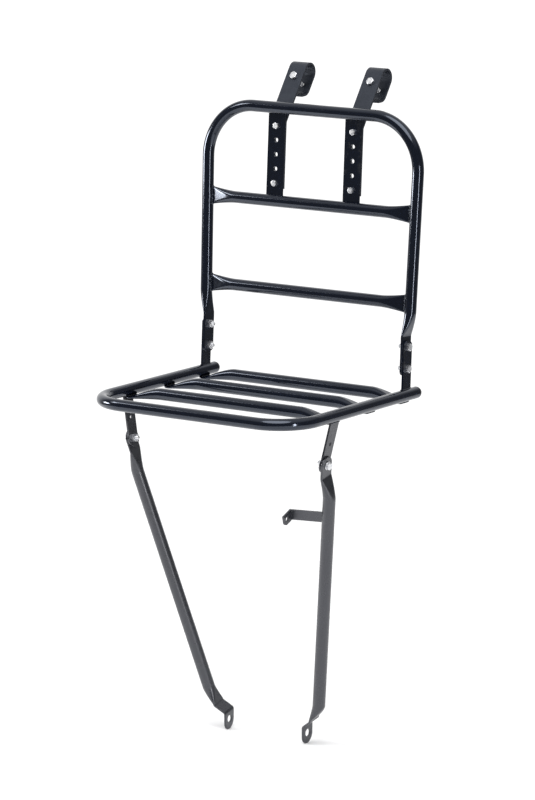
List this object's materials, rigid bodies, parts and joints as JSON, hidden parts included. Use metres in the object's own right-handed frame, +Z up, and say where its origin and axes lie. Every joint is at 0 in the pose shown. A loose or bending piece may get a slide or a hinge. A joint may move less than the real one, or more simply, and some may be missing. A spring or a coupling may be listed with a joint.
{
  "type": "bicycle front carrier",
  "caption": "Tube-framed bicycle carrier: slatted platform on a tall hoop with handlebar hooks, stayed by two swinging legs to the wheel axle.",
  "frame": {"origin": "midway between the two axle holes in the feet, on the wheel axle's centre line", "axes": "+X across the bicycle along the axle, -Y forwards the way the platform points, +Z up"},
  "size_m": [0.373, 0.401, 0.9442],
  "materials": {
    "gloss_black_paint": "gloss black stove enamel on steel tube",
    "satin_black_paint": "satin black paint on steel tube and strip",
    "zinc_plate": "bright zinc-plated fasteners",
    "black_cap": "glossy black push-in tube caps"
  },
  "bodies": {
    "carrier": {"back_hoop": "gloss_black_paint", "front_slat": "gloss_black_paint", "hook_clamp_bolts": "zinc_plate", "hook_clamp_nuts": "zinc_plate", "hook_plate_bolts": "zinc_plate", "hook_plate_nuts": "zinc_plate", "left_hook_plate": "gloss_black_paint", "left_hook_strap": "satin_black_paint", "left_leg_bracket": "satin_black_paint", "left_rear_tab": "gloss_black_paint", "lower_crossbar": "gloss_black_paint", "middle_slat": "gloss_black_paint", "pivot_bolts": "zinc_plate", "pivot_nuts": "zinc_plate", "pivot_washers": "zinc_plate", "platform_hoop": "gloss_black_paint", "rail_end_caps": "black_cap", "rear_slat": "gloss_black_paint", "right_hook_plate": "gloss_black_paint", "right_hook_strap": "satin_black_paint", "right_leg_bracket": "satin_black_paint", "right_rear_tab": "gloss_black_paint", "tab_bolts": "zinc_plate", "tab_nuts": "zinc_plate", "upper_crossbar": "gloss_black_paint"},
    "left_leg": {"left_leg": "satin_black_paint"},
    "right_leg": {"right_leg": "satin_black_paint", "lamp_bracket": "satin_black_paint"}
  },
  "joints": [
    {"name": "left_leg_pivot", "type": "hinge", "parent": "carrier", "child": "left_leg", "pos_m": [-0.1637, -0.0998, 0.4165], "axis": [0.9785, 0, 0.2062], "range_deg": [-105, 75]},
    {"name": "right_leg_pivot", "type": "hinge", "parent": "carrier", "child": "right_leg", "pos_m": [0.1637, -0.0998, 0.4165], "axis": [0.9785, 0, -0.2062], "range_deg": [-105, 75]}
  ]
}
